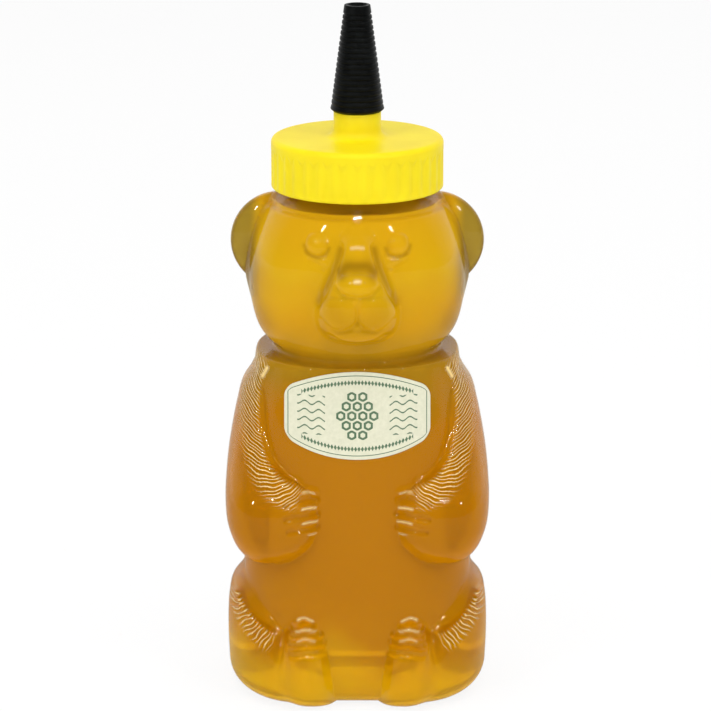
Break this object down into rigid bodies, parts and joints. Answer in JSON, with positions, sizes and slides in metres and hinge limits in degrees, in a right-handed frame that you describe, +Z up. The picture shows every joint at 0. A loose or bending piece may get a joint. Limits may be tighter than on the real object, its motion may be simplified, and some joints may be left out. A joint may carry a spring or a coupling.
{
  "type": "honey bear bottle",
  "caption": "Squeezable bear-shaped bottle of honey with a ribbed screw cap, a conical spout and a pull-off ringed sealer tip.",
  "frame": {"origin": "on the axis of the screw neck, at the plane that the bottle stands on", "axes": "+Z up along the neck's axis, the bear faces -Y, +X to the right of someone looking at its face"},
  "size_m": [0.0636, 0.0588, 0.1663],
  "materials": {
    "clear_plastic": "clear gloss",
    "honey": "clear amber liquid",
    "label_paper": "coated paper with a green print",
    "cap_plastic": "satin moulded plastic",
    "liner_foam": "smooth foam sheet",
    "tip_plastic": "satin moulded plastic"
  },
  "bodies": {
    "bottle": {"bear_bottle": "clear_plastic", "honey_fill": "honey", "front_label": "label_paper"},
    "liner": {"cap_liner": "liner_foam"},
    "cap": {"spout_cap": "cap_plastic"},
    "tip": {"sealer_tip": "tip_plastic"}
  },
  "joints": [
    {"name": "cap_lift", "type": "slide", "parent": "bottle", "child": "liner", "axis": [0, 0, 1], "range_m": [0, 0.0128]},
    {"name": "cap_turn", "type": "hinge", "parent": "liner", "child": "cap", "pos_m": [0, 0, 0.1347], "axis": [0, 0, 1], "range_deg": [0, 1080]},
    {"name": "tip_pull", "type": "slide", "parent": "cap", "child": "tip", "axis": [0, 0, 1], "range_m": [0, 0.03]}
  ],
  "couplings": [
    {"joint": "cap_lift", "follows": "cap_turn", "m_per_rad": 0.00067376}
  ]
}
